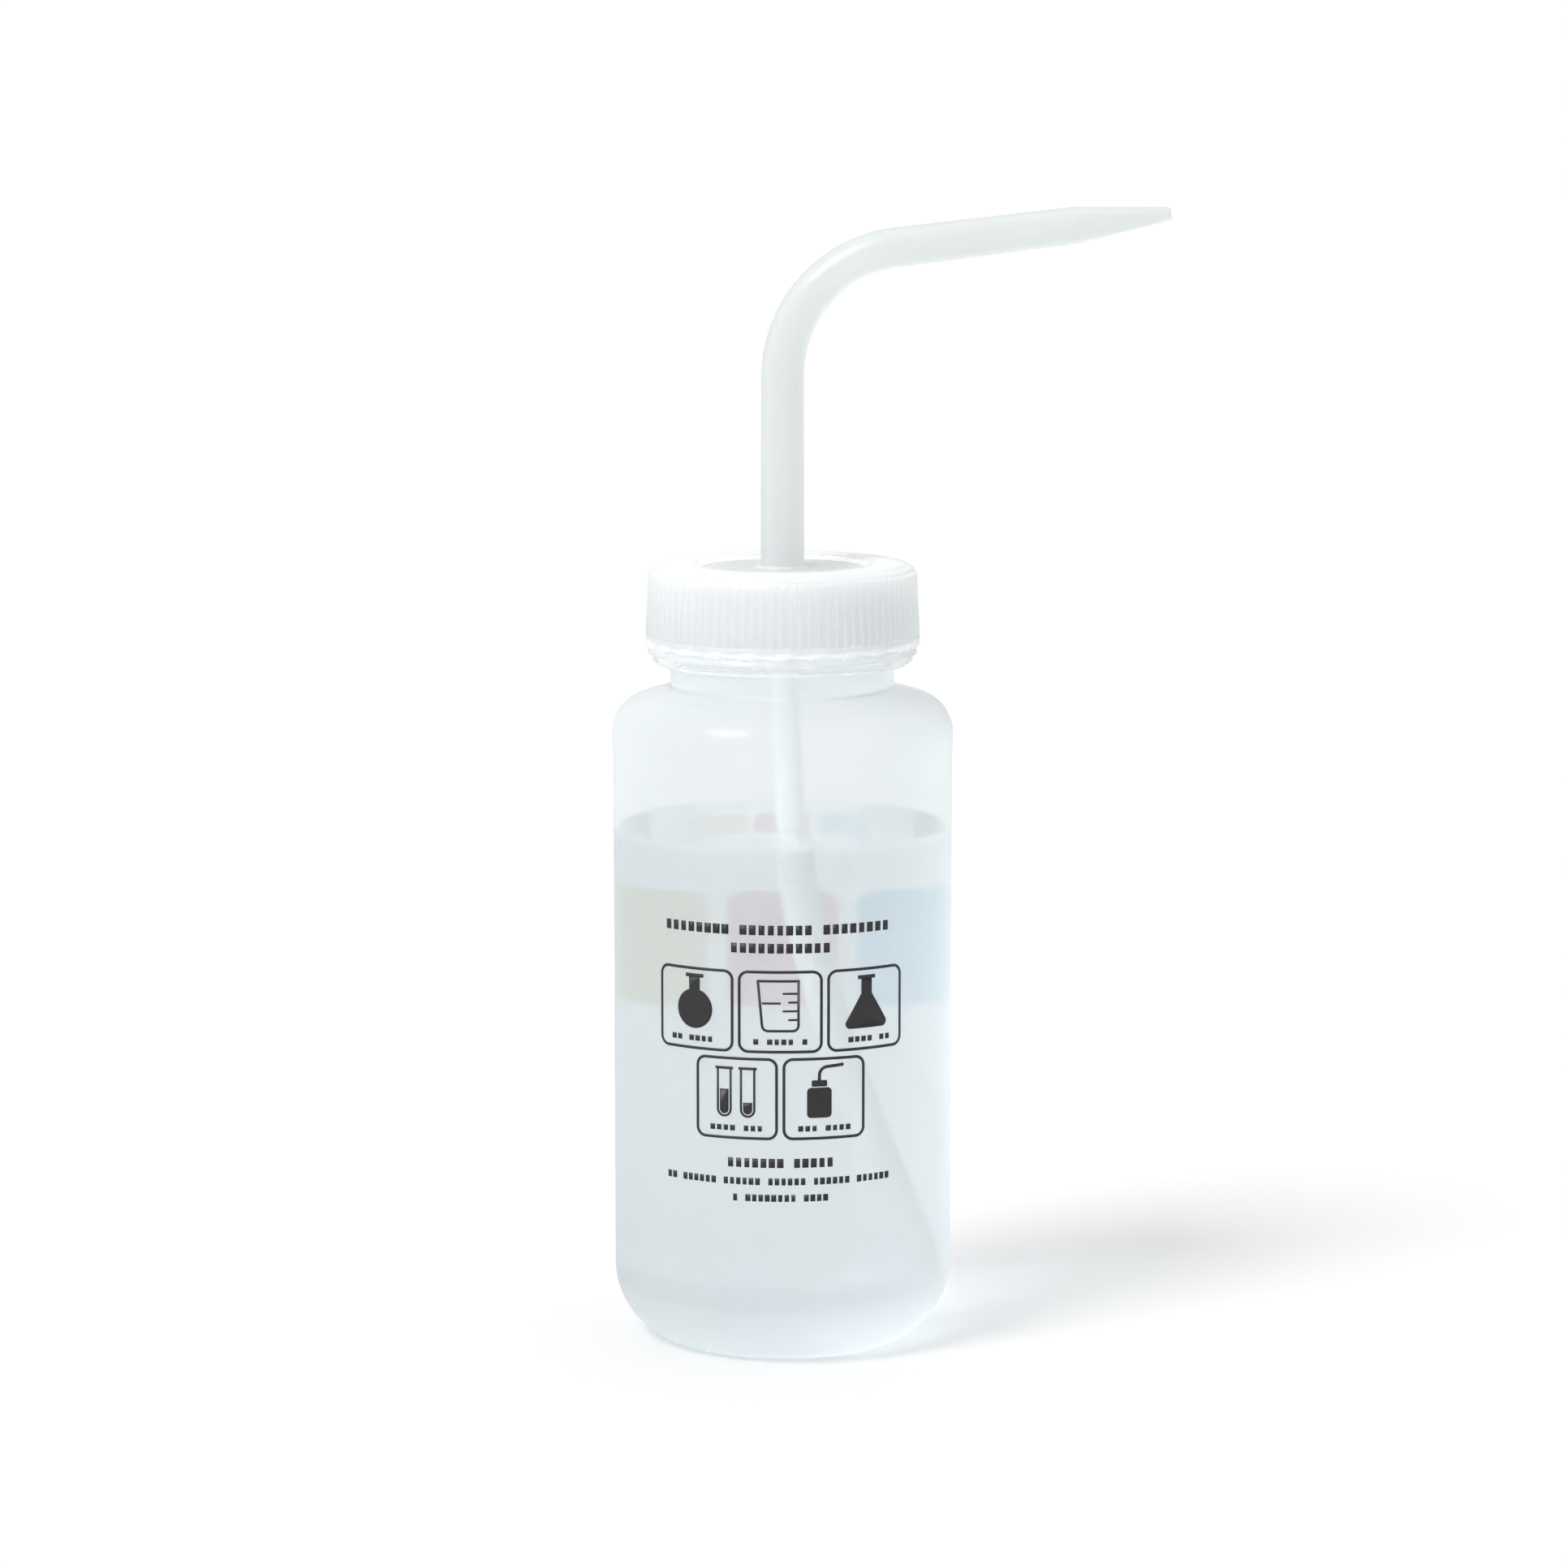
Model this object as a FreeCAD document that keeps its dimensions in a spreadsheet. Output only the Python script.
import FreeCAD, Part
import math
import os
import re
import Sketcher

from FreeCAD import Placement, Rotation, Vector

# Laboratory wash bottle: a squeezable bottle with a screw neck, a ribbed cap with a loose
# gasket, a tamper ring left under the cap, a bent spout and a dip tube pushed into its stem.
# Frame: origin at the middle of the standing ring, +Z up, the spout points to +X and the
# printed side of the bottle faces -Y.

SIZES = {
    # bottle, outside
    "body_radius": 37.0,
    "corner_radius": 17.5,
    "corner_height": 15.7,
    "dish_rise": 2.4,
    "foot_width": 1.2,
    "panel_top": 128.0,
    "bead_radius": 37.2,
    "bead_height": 130.0,
    "shoulder_start": 133.7,
    "shoulder_radius": 8.4,
    "shoulder_slope": 16.8,
    "neck_radius": 24.4,
    "neck_fillet": 1.5,
    "rim_height": 167.3,
    "rim_bevel": 0.5,
    # bottle, walls
    "wall": 1.2,
    "neck_bore": 22.4,
    # catch bead that the tamper ring hooks under
    "catch_radius": 26.1,
    "catch_low": 150.4,
    "catch_high": 152.2,
    "catch_lead": 0.5,
    "catch_ramp": 0.7,
    # screw thread, shared by the neck and the cap
    "thread_pitch": 4.2333,
    "thread_start": 156.5,
    "thread_drop": 1.45,
    "thread_bite": 0.3,
    "neck_thread_radius": 26.3,
    "neck_thread_turns": 1.5,
    "neck_thread_foot": 2.0,
    "neck_thread_land": 0.9,
    "cap_thread_radius": 25.2,
    "cap_thread_turns": 1.0,
    "cap_thread_foot": 1.7,
    "cap_thread_land": 0.7,
    # tamper ring
    "ring_top": 152.3,
    "ring_radius": 29.4,
    "ring_belly": 151.1,
    "ring_bottom": 148.9,
    "ring_foot_radius": 27.6,
    "ring_edge_radius": 28.9,
    "ring_bore": 27.7,
    "ring_lip_radius": 24.9,
    "ring_lip_height": 149.7,
    "ring_lip_ramp": 0.6,
    "ring_lower_fullness": 0.4,
    "ring_upper_fullness": 0.3,
    "window_low": 149.6,
    "window_high": 151.2,
    "window_span": 46.0,
    "window_count": 6,
    "window_inset": 0.3,
    # cap
    "cap_bottom": 153.0,
    "cap_rim_radius": 29.9,
    "cap_rim_top": 154.9,
    "cap_bevel": 0.5,
    "cap_rim_bevel": 1.0,
    "cap_rim_ramp": 0.3,
    "cap_low_radius": 29.5,
    "cap_high_radius": 28.9,
    "cap_shoulder": 168.8,
    "cap_edge_radius": 0.8,
    "crown_radius": 27.9,
    "crown_bevel": 1.3,
    "crown_fullness": 1.3,
    "cap_top": 170.5,
    "cap_bore": 27.2,
    "cap_ceiling": 168.4,
    "recess_radius": 18.0,
    "recess_floor": 169.6,
    "recess_ceiling": 167.2,
    "recess_draft": 0.6,
    "boss_draft": 0.3,
    "boss_radius": 5.9,
    "boss_top": 170.2,
    "stem_hole_radius": 4.86,
    "rib_count": 90,
    "rib_width": 1.1,
    "rib_height": 0.35,
    "rib_top": 168.4,
    "rib_root": 0.5,
    "rib_lead": 0.6,
    "pad_count": 24,
    "pad_height": 0.2,
    "pad_width": 4.4,
    "pad_lean": 1.4,
    "pad_thickness": 1.0,
    "pad_inset": 0.1,
    "pad_root": 1.2,
    # gasket
    "gasket_radius": 26.0,
    "gasket_bore": 19.5,
    "gasket_bottom": 167.35,
    "gasket_thickness": 1.0,
    # spout
    "stem_bottom": 158.0,
    "stem_radius": 4.8,
    "stem_top_radius": 4.65,
    "flange_radius": 7.0,
    "flange_bottom": 165.5,
    "flange_thickness": 1.6,
    "bend_start": 211.0,
    "bend_radius": 28.0,
    "bend_turn": 83.0,
    "bend_end_radius": 4.33,
    "spout_run": 39.5,
    "spout_end_radius": 4.02,
    "spout_bore": 2.75,
    "tip_run": 18.3,
    "tip_base_radius": 3.92,
    "tip_end_radius": 1.7,
    "nose_run": 1.7,
    "nose_radius": 1.15,
    "jet_bore": 0.8,
    "socket_depth": 12.0,
    "socket_radius": 3.2,
    # dip tube
    "dip_radius": 3.175,
    "dip_bore": 2.15,
    "dip_top": 169.8,
    "dip_lean_start": 157.0,
    "dip_lean_radius": 360.0,
    "dip_lean_end": 139.0,
    "dip_knee_start": 108.0,
    "dip_knee_radius": 133.0,
    "dip_knee_end": 92.0,
    "dip_sweep_radius": 400.0,
    "dip_end": 3.0,
    "slant_reach": 28.0,
    "slant_width": 7.0,
    "slant_low": 3.0,
    "slant_high": 11.0,
    # how far a cutting shape reaches past what it cuts
    "cut_margin": 1.0,
}

CLOCKWISE = -1
COUNTER_CLOCKWISE = 1
AXIS_TOLERANCE = 1e-9


def make_sheet(doc):
    """Put every driving dimension in one spreadsheet, each with its alias."""
    sheet = doc.addObject("Spreadsheet::Sheet", "Sizes")
    for row, (alias, size) in enumerate(SIZES.items(), start=1):
        sheet.set(f"A{row}", alias)
        sheet.set(f"B{row}", str(size))
        sheet.setAlias(f"B{row}", alias)
    doc.recompute()
    return sheet


def value(doc, expression):
    """The number that an expression of sheet cells gives now."""
    result = doc.Sizes.evalExpression(expression)
    return float(getattr(result, "Value", result))


def origin_plane(body, role):
    """One of the body's own origin planes or axes, found by its role."""
    return next(item for item in body.Origin.OriginFeatures if item.Role == role)


def sketch_on(body, name, role="XZ_Plane"):
    """An empty sketch on one of the body's origin planes."""
    sketch = body.newObject("Sketcher::SketchObject", name)
    sketch.AttachmentSupport = [(origin_plane(body, role), "")]
    sketch.MapMode = "FlatFace"
    return sketch


def new_body(doc, label):
    """A PartDesign body whose label is its file's name."""
    body = doc.addObject("PartDesign::Body", label)
    body.Label = label
    body.Placement = Placement()
    return body


class Outline:
    """A closed sketch outline of lines and arcs. Each corner and each arc's radius is
    bound to the sheet, so that the sketch follows its dimensions."""

    def __init__(self, doc, sketch, across, up):
        self.doc = doc
        self.sketch = sketch
        self.first = (across, up)
        self.corner = (across, up)
        self.first_piece = None
        self.last_piece = None

    def point(self, corner):
        return Vector(value(self.doc, corner[0]), value(self.doc, corner[1]), 0)

    def bind(self, kind, parts, expression):
        number = value(self.doc, expression)
        index = self.sketch.addConstraint(Sketcher.Constraint(kind, *parts, number))
        self.sketch.setExpression(f"Constraints[{index}]", expression_on_sheet(expression))

    def place(self, piece, corner):
        """Hold the end of a line or arc at its corner."""
        for kind, axis, expression in (("DistanceX", -2, corner[0]), ("DistanceY", -1, corner[1])):
            if abs(value(self.doc, expression)) < AXIS_TOLERANCE:
                self.sketch.addConstraint(Sketcher.Constraint("PointOnObject", *piece, axis))
            else:
                self.bind(kind, (-1, 1, *piece), expression)

    def join(self, index, start, end, corner):
        """Tie a new piece to the one before it and hold its far end."""
        if self.last_piece is None:
            self.first_piece = (index, start)
        else:
            tie = Sketcher.Constraint("Coincident", *self.last_piece, index, start)
            self.sketch.addConstraint(tie)
        self.last_piece = (index, end)
        self.place(self.last_piece, corner)
        self.corner = corner

    def line(self, across, up):
        corner = (across, up)
        segment = Part.LineSegment(self.point(self.corner), self.point(corner))
        self.join(self.sketch.addGeometry(segment, False), 1, 2, corner)
        return self

    def arc(self, across, up, radius, turn):
        """An arc to a corner, turning the given way round, less than half a circle."""
        corner = (across, up)
        start = self.point(self.corner)
        end = self.point(corner)
        size = value(self.doc, radius)
        chord = end - start
        offset = math.sqrt(max(size ** 2 - chord.Length ** 2 / 4, 0.0))
        side = Vector(-chord.y, chord.x, 0) * (turn * offset / chord.Length)
        centre = (start + end) * 0.5 + side
        first, last = (start, end) if turn == COUNTER_CLOCKWISE else (end, start)
        angles = [math.atan2(p.y - centre.y, p.x - centre.x) for p in (first, last)]
        circle = Part.Circle(centre, Vector(0, 0, 1), size)
        index = self.sketch.addGeometry(Part.ArcOfCircle(circle, *angles), False)
        ends = (1, 2) if turn == COUNTER_CLOCKWISE else (2, 1)
        self.join(index, *ends, corner)
        self.bind("Radius", (index,), radius)
        return self

    def close(self):
        self.line(*self.first)
        tie = Sketcher.Constraint("Coincident", *self.last_piece, *self.first_piece)
        self.sketch.addConstraint(tie)
        return self.sketch


def expression_on_sheet(expression):
    """The same expression, with each cell's name written as a reference to the sheet."""
    def reference(word):
        return f"Sizes.{word[0]}" if word[0] in SIZES else word[0]
    return re.sub(r"[a-z_]+", reference, expression)


def bind(item, name, expression):
    """Bind a feature's property to the sheet."""
    item.setExpression(name, expression_on_sheet(expression))


def revolve(body, sketch, name):
    """Turn an outline right round the vertical axis."""
    turned = body.newObject("PartDesign::Revolution", name)
    turned.Profile = sketch
    turned.ReferenceAxis = (sketch, ["V_Axis"])
    turned.Angle = 360.0
    sketch.Visibility = False
    return turned


def wind_thread(doc, body, name, root, crest, foot, land, middle, turns):
    """A trapezoid thread wound on a wall; foot and land are its widths at wall and crest."""
    sketch = sketch_on(body, name + "_profile")
    outline = Outline(doc, sketch, root, f"{middle} - {foot} / 2")
    outline.line(crest, f"{middle} - {land} / 2")
    outline.line(crest, f"{middle} + {land} / 2")
    outline.line(root, f"{middle} + {foot} / 2")
    outline.close()
    thread = body.newObject("PartDesign::AdditiveHelix", name)
    thread.Profile = sketch
    thread.ReferenceAxis = (sketch, ["V_Axis"])
    thread.Mode = 0
    bind(thread, "Pitch", "thread_pitch")
    bind(thread, "Height", f"thread_pitch * {turns}")
    thread.LeftHanded = False
    thread.Reversed = False
    sketch.Visibility = False
    return thread


def repeat(body, feature, name, count):
    """Repeat a feature round the vertical axis."""
    pattern = body.newObject("PartDesign::PolarPattern", name)
    pattern.Originals = [feature]
    pattern.Axis = (origin_plane(body, "Z_Axis"), [""])
    pattern.Angle = 360.0
    bind(pattern, "Occurrences", count)
    body.Tip = pattern
    return pattern


def make_bottle(doc):
    """Blow-moulded bottle: dished base, rounded corner, straight wall with a slightly
    recessed label panel, rounded shoulder and a threaded neck with a catch bead."""
    body = new_body(doc, "bottle")
    foot = "(body_radius - corner_radius + sqrt(corner_radius ^ 2 - corner_height ^ 2))"
    dish_edge = f"({foot} - foot_width)"
    dish_sphere = f"({dish_edge} ^ 2 + dish_rise ^ 2) / (2 * dish_rise)"
    arc_centre = "bead_radius - shoulder_radius"
    arc_end = f"({arc_centre} + shoulder_radius * sin(shoulder_slope))"
    arc_top = "(shoulder_start + shoulder_radius * cos(shoulder_slope))"
    neck_root = f"({arc_top} + ({arc_end} - neck_radius) * tan(shoulder_slope))"
    fillet_leg = "(neck_fillet * tan(45 - shoulder_slope / 2))"
    inner_arc = "(shoulder_radius - wall)"
    inner_end = f"({arc_centre} + {inner_arc} * sin(shoulder_slope))"
    inner_top = f"(shoulder_start + {inner_arc} * cos(shoulder_slope))"
    inner_root = f"({inner_top} + ({inner_end} - neck_bore) * tan(shoulder_slope))"
    inner_corner = "(corner_radius - wall)"
    corner_middle = "(body_radius - corner_radius)"
    inner_foot = f"({corner_middle} + sqrt({inner_corner} ^ 2 - (corner_height - wall) ^ 2))"

    outline = Outline(doc, sketch_on(body, "bottle_outline"), "0", "dish_rise")
    outline.arc(dish_edge, "0", dish_sphere, CLOCKWISE)
    outline.line(foot, "0")
    outline.arc("body_radius", "corner_height", "corner_radius", COUNTER_CLOCKWISE)
    outline.line("body_radius", "panel_top")
    outline.line("bead_radius", "bead_height")
    outline.line("bead_radius", "shoulder_start")
    outline.arc(arc_end, arc_top, "shoulder_radius", COUNTER_CLOCKWISE)
    outline.line(f"neck_radius + {fillet_leg} * cos(shoulder_slope)",
                 f"{neck_root} - {fillet_leg} * sin(shoulder_slope)")
    outline.arc("neck_radius", f"{neck_root} + {fillet_leg}", "neck_fillet", CLOCKWISE)
    outline.line("neck_radius", "catch_low")
    outline.line("catch_radius", "catch_low + catch_lead")
    outline.line("catch_radius", "catch_high - catch_ramp")
    outline.line("neck_radius", "catch_high")
    outline.line("neck_radius", "rim_height - rim_bevel")
    outline.line("neck_radius - rim_bevel", "rim_height")
    outline.line("neck_bore + rim_bevel", "rim_height")
    outline.line("neck_bore", "rim_height - rim_bevel")
    outline.line("neck_bore", inner_root)
    outline.line(inner_end, inner_top)
    outline.arc("bead_radius - wall", "shoulder_start", inner_arc, CLOCKWISE)
    outline.line("bead_radius - wall", "bead_height")
    outline.line("body_radius - wall", "panel_top")
    outline.line("body_radius - wall", "corner_height")
    outline.arc(inner_foot, "wall", inner_corner, CLOCKWISE)
    outline.line(dish_edge, "wall")
    outline.arc("0", "dish_rise + wall", dish_sphere, COUNTER_CLOCKWISE)
    revolve(body, outline.close(), "bottle_shell")
    wind_thread(doc, body, "neck_thread", "neck_radius - thread_bite", "neck_thread_radius",
                "neck_thread_foot", "neck_thread_land", "thread_start", "neck_thread_turns")
    return body


def make_tamper_ring(doc):
    """Band left on the neck when the cap was first opened: bowl-shaped outside, with a
    lip that hooks under the neck's catch bead and windows low in its wall."""
    body = new_body(doc, "tamper_ring")
    outline = Outline(doc, sketch_on(body, "ring_outline"), "ring_lip_radius", "ring_bottom")
    outline.line("ring_foot_radius", "ring_bottom")
    lower_arc = "ring_belly - ring_bottom + ring_lower_fullness"
    upper_arc = "ring_top - ring_belly + ring_upper_fullness"
    outline.arc("ring_radius", "ring_belly", lower_arc, COUNTER_CLOCKWISE)
    outline.arc("ring_edge_radius", "ring_top", upper_arc, COUNTER_CLOCKWISE)
    outline.line("ring_bore", "ring_top")
    outline.line("ring_bore", "ring_lip_height + ring_lip_ramp")
    outline.line("ring_bore - ring_lip_ramp", "ring_lip_height")
    outline.line("ring_lip_radius", "ring_lip_height")
    revolve(body, outline.close(), "ring_band")

    slot = Outline(doc, sketch_on(body, "window_outline"), "ring_bore - window_inset", "window_low")
    slot.line("ring_radius + cut_margin", "window_low")
    slot.line("ring_radius + cut_margin", "window_high")
    slot.line("ring_bore - window_inset", "window_high")
    sketch = slot.close()
    window = body.newObject("PartDesign::Groove", "window")
    window.Profile = sketch
    window.ReferenceAxis = (sketch, ["V_Axis"])
    window.Midplane = True
    bind(window, "Angle", "window_span")
    sketch.Visibility = False
    repeat(body, window, "windows", "window_count")
    return body


def make_cap(doc):
    """Screw cap: plain rim with break-off pads, ribbed grip, recessed top with a boss
    round the stem hole, and an internal thread."""
    body = new_body(doc, "cap")
    slope_foot = "cap_rim_top + cap_rim_ramp"
    outline = Outline(doc, sketch_on(body, "cap_outline"), "cap_bore + cap_bevel", "cap_bottom")
    outline.line("cap_rim_radius - cap_rim_bevel", "cap_bottom")
    outline.line("cap_rim_radius", "cap_bottom + cap_rim_bevel")
    outline.line("cap_rim_radius", "cap_rim_top")
    outline.line("cap_low_radius", slope_foot)
    outline.line("cap_high_radius", "cap_shoulder")
    crown_foot = "cap_shoulder + cap_edge_radius"
    edge_end = "cap_high_radius - cap_edge_radius"
    outline.arc(edge_end, crown_foot, "cap_edge_radius", COUNTER_CLOCKWISE)
    outline.line("crown_radius", crown_foot)
    outline.arc("crown_radius - crown_bevel", "cap_top", "crown_fullness", COUNTER_CLOCKWISE)
    outline.line("recess_radius + recess_draft", "cap_top")
    outline.line("recess_radius", "recess_floor")
    outline.line("boss_radius", "recess_floor")
    outline.line("boss_radius - boss_draft", "boss_top")
    outline.line("stem_hole_radius", "boss_top")
    outline.line("stem_hole_radius", "recess_ceiling")
    outline.line("recess_radius", "recess_ceiling")
    outline.line("recess_radius + recess_draft", "cap_ceiling")
    outline.line("cap_bore", "cap_ceiling")
    outline.line("cap_bore", "cap_bottom + cap_bevel")
    revolve(body, outline.close(), "cap_shell")
    wind_thread(doc, body, "cap_thread", "cap_bore + thread_bite", "cap_thread_radius",
                "cap_thread_foot", "cap_thread_land", "thread_start - thread_drop",
                "cap_thread_turns")

    rib_sketch = sketch_on(body, "rib_outline")
    rib_outline = Outline(doc, rib_sketch, "cap_low_radius - rib_root", slope_foot)
    rib_outline.line("cap_low_radius + rib_height", slope_foot)
    rib_outline.line("cap_high_radius + rib_height", "rib_top")
    rib_outline.line("cap_high_radius - rib_root", "rib_top + rib_lead")
    sketch = rib_outline.close()
    rib = body.newObject("PartDesign::Pad", "rib")
    rib.Profile = sketch
    rib.Midplane = True
    bind(rib, "Length", "rib_width")
    sketch.Visibility = False
    repeat(body, rib, "ribs", "rib_count")

    pad_outer = "(cap_rim_radius - pad_inset)"
    pad_sketch = sketch_on(body, "pad_outline", "YZ_Plane")
    pad_outline = Outline(doc, pad_sketch, "0 - pad_width / 2", "cap_bottom - pad_height")
    pad_outline.line("pad_width / 2 - pad_lean", "cap_bottom - pad_height")
    pad_outline.line("pad_width / 2", "cap_bottom + pad_root")
    pad_outline.line("pad_lean - pad_width / 2", "cap_bottom + pad_root")
    pad_outline.close()
    pad_sketch.AttachmentOffset = Placement(Vector(0, 0, value(doc, pad_outer)), Rotation())
    pad_sketch.setExpression("AttachmentOffset.Base.z", expression_on_sheet(pad_outer))
    pad = body.newObject("PartDesign::Pad", "pad")
    pad.Profile = pad_sketch
    pad.Reversed = True
    bind(pad, "Length", "pad_thickness")
    pad_sketch.Visibility = False
    repeat(body, pad, "pads", "pad_count")
    return body


def make_gasket(doc):
    """Soft sealing ring between the neck's rim and the cap; it doesn't turn with the cap."""
    body = new_body(doc, "gasket")
    outline = Outline(doc, sketch_on(body, "gasket_outline"), "gasket_bore", "gasket_bottom")
    outline.line("gasket_radius", "gasket_bottom")
    outline.line("gasket_radius", "gasket_bottom + gasket_thickness")
    outline.line("gasket_bore", "gasket_bottom + gasket_thickness")
    revolve(body, outline.close(), "gasket_ring")
    return body


def part_object(doc, kind, name, sizes, place=None):
    """A Part primitive with its sizes and, where given, its place bound to the sheet."""
    item = doc.addObject(kind, name)
    for name_of_size, expression in sizes.items():
        bind(item, name_of_size, expression)
    for name_of_place, expression in (place or {}).items():
        bind(item, f"Placement.{name_of_place}", expression)
    return item


def along_spout(doc, kind, name, sizes, distance):
    """A primitive on the spout's straight run, at a distance past the end of the bend."""
    item = doc.addObject(kind, name)
    item.Placement = Placement(Vector(), Rotation(Vector(0, 1, 0), value(doc, "bend_turn")))
    for name_of_size, expression in sizes.items():
        bind(item, name_of_size, expression)
    across = f"bend_radius * (1 - cos(bend_turn)) + ({distance}) * sin(bend_turn)"
    up = f"bend_start + bend_radius * sin(bend_turn) + ({distance}) * cos(bend_turn)"
    bind(item, "Placement.Base.x", across)
    bind(item, "Placement.Base.z", up)
    bind(item, "Placement.Rotation.Angle", "bend_turn")
    return item


def fused(doc, name, pieces):
    joined = doc.addObject("Part::MultiFuse", name)
    joined.Shapes = pieces
    return joined


def make_bend_outside(doc):
    """The spout's bend, which narrows evenly from its first section to its last."""
    first = part_object(doc, "Part::Circle", "bend_first", {"Radius": "stem_top_radius"},
                        {"Base.z": "bend_start"})
    last = along_spout(doc, "Part::Circle", "bend_last", {"Radius": "bend_end_radius"}, "0")
    spine = doc.addObject("Part::Circle", "bend_spine")
    spine.Placement = Placement(Vector(), Rotation(Vector(1, 0, 0), 90))
    bind(spine, "Radius", "bend_radius")
    bind(spine, "Angle1", "180 - bend_turn")
    spine.Angle2 = 180.0
    bind(spine, "Placement.Base.x", "bend_radius")
    bind(spine, "Placement.Base.z", "bend_start")
    bend = doc.addObject("Part::Sweep", "bend_outside")
    bend.Sections = [first, last]
    bend.Spine = (spine, ["Edge1"])
    bend.Solid = True
    bend.Frenet = False
    return bend


def make_spout(doc):
    """Formed spout: stem through the cap with a flange under it, a wide bend, a run that
    rises a little and narrows, and a drawn-down jet tip."""
    stem = part_object(doc, "Part::Cone", "stem",
                       {"Radius1": "stem_radius", "Radius2": "stem_top_radius",
                        "Height": "bend_start - stem_bottom"}, {"Base.z": "stem_bottom"})
    flange = part_object(doc, "Part::Cylinder", "flange",
                         {"Radius": "flange_radius", "Height": "flange_thickness"},
                         {"Base.z": "flange_bottom"})
    bend = make_bend_outside(doc)
    run = along_spout(doc, "Part::Cone", "run",
                      {"Radius1": "bend_end_radius", "Radius2": "spout_end_radius",
                       "Height": "spout_run"}, "0")
    tip = along_spout(doc, "Part::Cone", "tip",
                      {"Radius1": "tip_base_radius", "Radius2": "tip_end_radius",
                       "Height": "tip_run"}, "spout_run")
    nose = along_spout(doc, "Part::Cone", "nose",
                       {"Radius1": "tip_end_radius", "Radius2": "nose_radius",
                        "Height": "nose_run"}, "spout_run + tip_run")
    outside = fused(doc, "spout_outside", [stem, flange, bend, run, tip, nose])

    socket = part_object(doc, "Part::Cylinder", "socket",
                         {"Radius": "socket_radius", "Height": "socket_depth + cut_margin"},
                         {"Base.z": "stem_bottom - cut_margin"})
    stem_bore = part_object(doc, "Part::Cylinder", "stem_bore",
                            {"Radius": "spout_bore", "Height": "bend_start - stem_bottom"},
                            {"Base.z": "stem_bottom"})
    bend_bore = doc.addObject("Part::Torus", "bend_bore")
    bend_bore.Placement = Placement(Vector(), Rotation(Vector(-1, 0, 0), Vector(0, 0, 1),
                                                       Vector(0, 1, 0), "XYZ"))
    bind(bend_bore, "Radius1", "bend_radius")
    bind(bend_bore, "Radius2", "spout_bore")
    bind(bend_bore, "Angle3", "bend_turn")
    bind(bend_bore, "Placement.Base.x", "bend_radius")
    bind(bend_bore, "Placement.Base.z", "bend_start")
    run_bore = along_spout(doc, "Part::Cylinder", "run_bore",
                           {"Radius": "spout_bore", "Height": "spout_run"}, "0")
    tip_bore = along_spout(doc, "Part::Cone", "tip_bore",
                           {"Radius1": "spout_bore", "Radius2": "jet_bore",
                            "Height": "tip_run"}, "spout_run")
    jet = along_spout(doc, "Part::Cylinder", "jet",
                      {"Radius": "jet_bore", "Height": "nose_run + cut_margin"}, "spout_run + tip_run")
    inside = fused(doc, "spout_inside", [socket, stem_bore, bend_bore, run_bore, tip_bore, jet])

    spout = doc.addObject("Part::Cut", "spout")
    spout.Base = outside
    spout.Tool = inside
    spout.Label = "spout"
    spout.Placement = Placement()
    return spout


class Route:
    """An open sketch path that runs down and leans to +X: a line and arcs, each tangent
    to the one before, each ending at a height from the sheet."""

    def __init__(self, doc, sketch, top):
        self.doc = doc
        self.sketch = sketch
        self.place = Vector(0, value(doc, top), 0)
        self.lean = 0.0
        self.last = None
        self.top = top

    def attach(self, index, end_height):
        if self.last is None:
            self.sketch.addConstraint(Sketcher.Constraint("PointOnObject", index, 1, -2))
            self.sketch.addConstraint(Sketcher.Constraint("Vertical", index))
            self.hold_height(index, 1, self.top)
        else:
            self.sketch.addConstraint(Sketcher.Constraint("Tangent", self.last, 2, index, 1))
        self.hold_height(index, 2, end_height)
        self.last = index

    def hold_height(self, index, end, height):
        constraint = Sketcher.Constraint("DistanceY", -1, 1, index, end, value(self.doc, height))
        number = self.sketch.addConstraint(constraint)
        self.sketch.setExpression(f"Constraints[{number}]", expression_on_sheet(height))

    def line(self, end_height):
        drop = self.place.y - value(self.doc, end_height)
        end = self.place + Vector(drop * math.tan(self.lean), -drop, 0)
        self.attach(self.sketch.addGeometry(Part.LineSegment(self.place, end), False), end_height)
        self.place = end

    def arc(self, end_height, radius):
        size = value(self.doc, radius)
        centre = self.place + Vector(math.cos(self.lean), math.sin(self.lean), 0) * size
        lean = math.asin((centre.y - value(self.doc, end_height)) / size)
        circle = Part.Circle(centre, Vector(0, 0, 1), size)
        bend = Part.ArcOfCircle(circle, math.pi + self.lean, math.pi + lean)
        index = self.sketch.addGeometry(bend, False)
        self.attach(index, end_height)
        number = self.sketch.addConstraint(Sketcher.Constraint("Radius", index, size))
        self.sketch.setExpression(f"Constraints[{number}]", expression_on_sheet(radius))
        self.lean = lean
        self.place = centre - Vector(math.cos(lean), math.sin(lean), 0) * size


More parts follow.
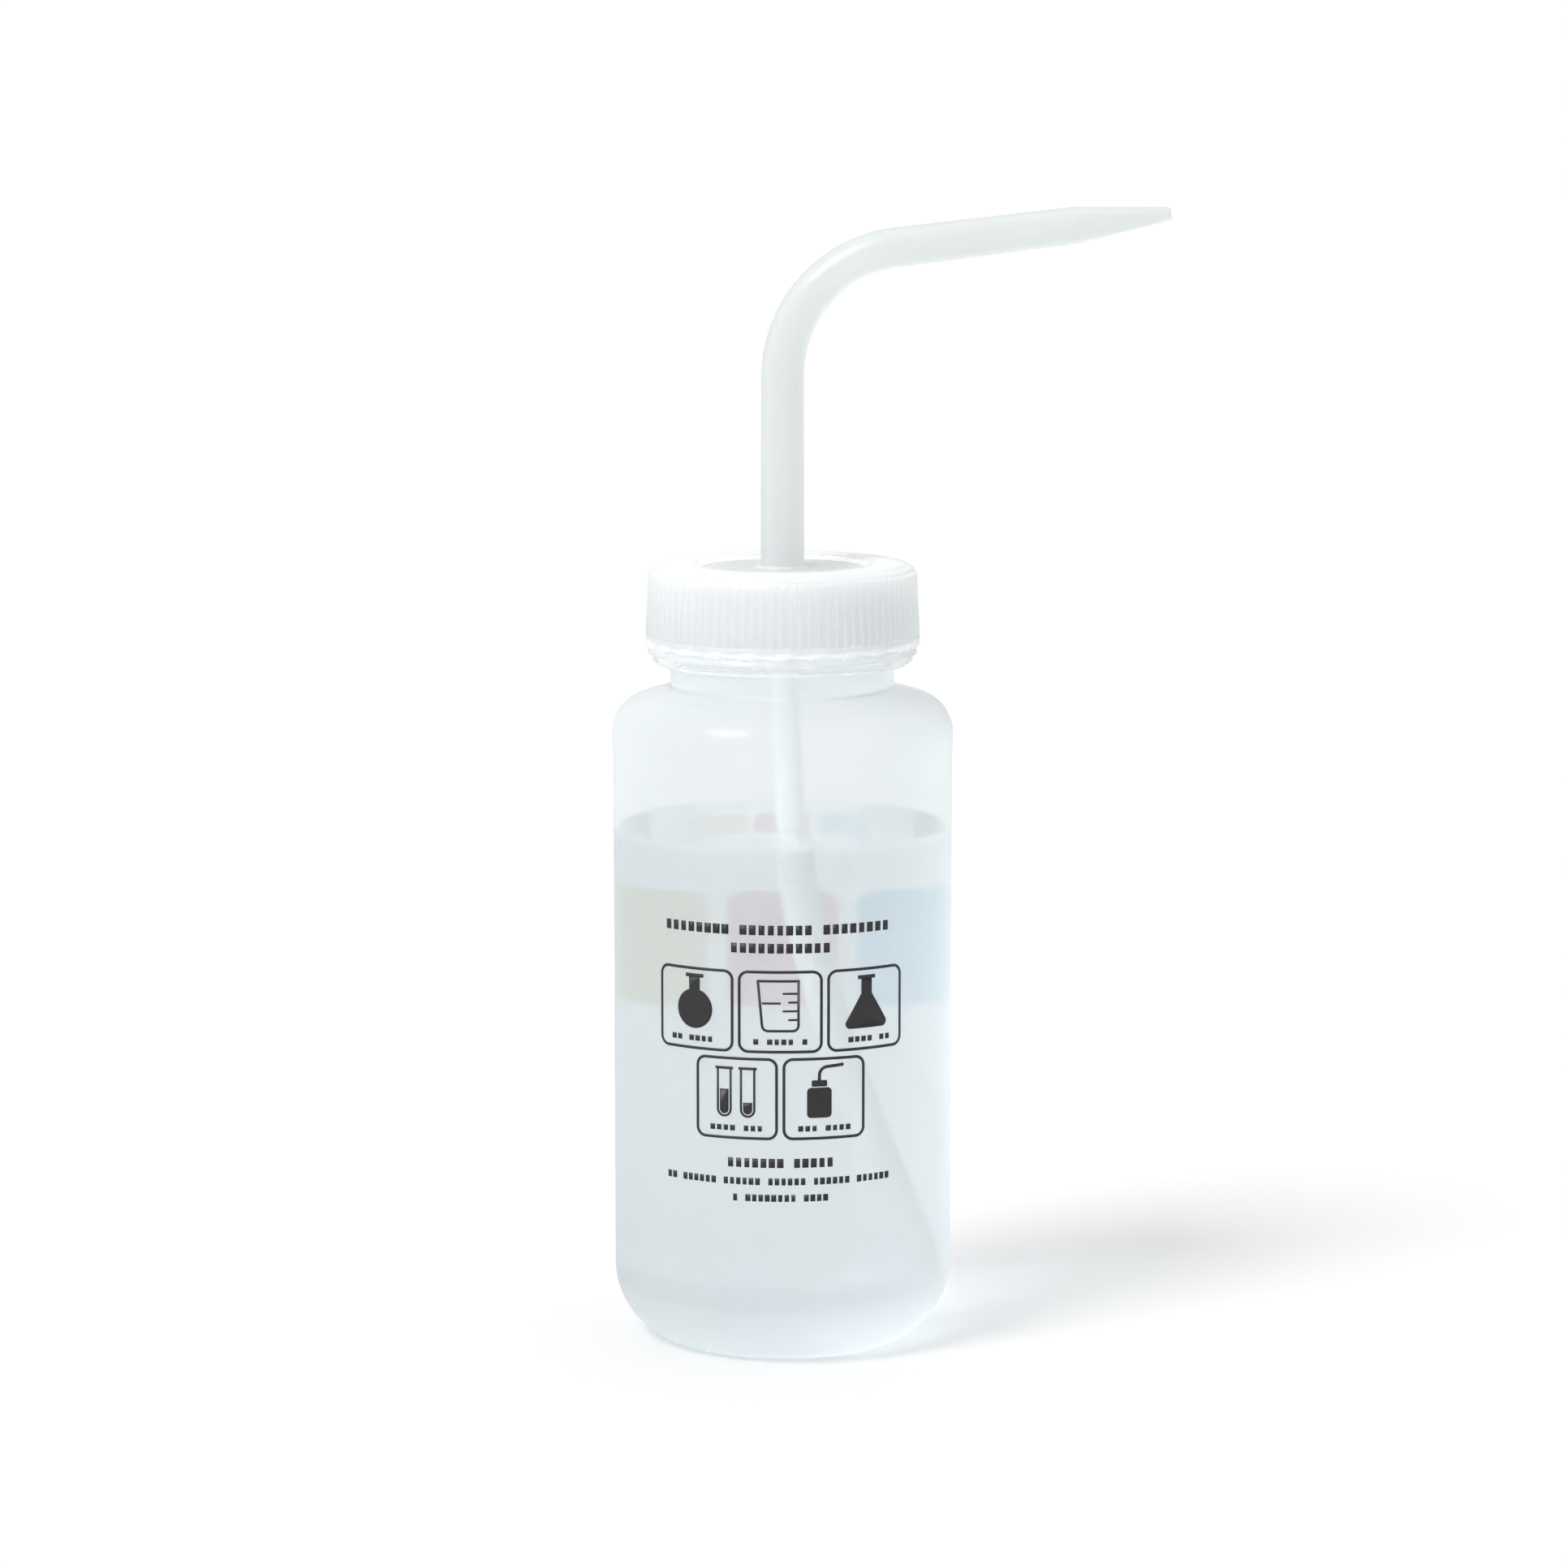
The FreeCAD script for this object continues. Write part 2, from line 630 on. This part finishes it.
def make_dip_tube(doc):
    """Dip tube: pushed into the stem's socket, straight at first, then leaning further
    and further towards the spout's side, with its lower end cut on a slant."""
    body = new_body(doc, "dip_tube")
    spine = sketch_on(body, "dip_route")
    route = Route(doc, spine, "dip_top")
    route.line("dip_lean_start")
    route.arc("dip_lean_end", "dip_lean_radius")
    route.line("dip_knee_start")
    route.arc("dip_knee_end", "dip_knee_radius")
    route.arc("dip_end", "dip_sweep_radius")

    section = sketch_on(body, "dip_section", "XY_Plane")
    for name in ("dip_radius", "dip_bore"):
        ring = Part.Circle(Vector(), Vector(0, 0, 1), value(doc, name))
        index = section.addGeometry(ring, False)
        section.addConstraint(Sketcher.Constraint("Coincident", index, 3, -1, 1))
        number = section.addConstraint(Sketcher.Constraint("Radius", index, value(doc, name)))
        section.setExpression(f"Constraints[{number}]", expression_on_sheet(name))
    section.AttachmentOffset = Placement(Vector(0, 0, value(doc, "dip_top")), Rotation())
    section.setExpression("AttachmentOffset.Base.z", expression_on_sheet("dip_top"))
    tube = body.newObject("PartDesign::AdditivePipe", "dip_pipe")
    tube.Profile = section
    tube.Spine = (spine, [f"Edge{number + 1}" for number in range(spine.GeometryCount)])
    spine.Visibility = False
    section.Visibility = False

    left = "slant_reach - slant_width"
    right = "slant_reach + slant_width"
    cut = Outline(doc, sketch_on(body, "slant_outline"), left, "slant_low")
    cut.line(left, "slant_low - slant_width")
    cut.line(right, "slant_low - slant_width")
    cut.line(right, "slant_high")
    slant_sketch = cut.close()
    slant = body.newObject("PartDesign::Pocket", "slant_cut")
    slant.Profile = slant_sketch
    slant.Midplane = True
    bind(slant, "Length", "4 * dip_radius")
    slant_sketch.Visibility = False
    return body


def check(doc, parts):
    """Stop if any object failed or any sub-part isn't one valid solid."""
    for item in doc.Objects:
        if {"Invalid", "Error"} & set(item.State):
            raise RuntimeError(f"{item.Label} failed: {item.State}")
        if item.TypeId == "Sketcher::SketchObject" and item.solve() != 0:
            raise RuntimeError(f"{item.Label} doesn't solve")
    for part in parts:
        shape = part.Shape
        if shape.isNull() or not shape.isValid() or len(shape.Solids) != 1:
            raise RuntimeError(f"{part.Label} isn't one valid solid")


def main():
    doc = FreeCAD.newDocument("wash_bottle")
    make_sheet(doc)
    parts = [
        make_bottle(doc),
        make_tamper_ring(doc),
        make_cap(doc),
        make_gasket(doc),
        make_spout(doc),
        make_dip_tube(doc),
    ]
    doc.recompute()
    check(doc, parts)
    os.makedirs("parts", exist_ok=True)
    for part in parts:
        part.Shape.exportStep(f"parts/{part.Label}.step")
        box = part.Shape.BoundBox
        print(f"{part.Label}: volume {part.Shape.Volume:.0f} mm3, "
              f"x {box.XMin:.2f}..{box.XMax:.2f}, z {box.ZMin:.2f}..{box.ZMax:.2f}")


main()
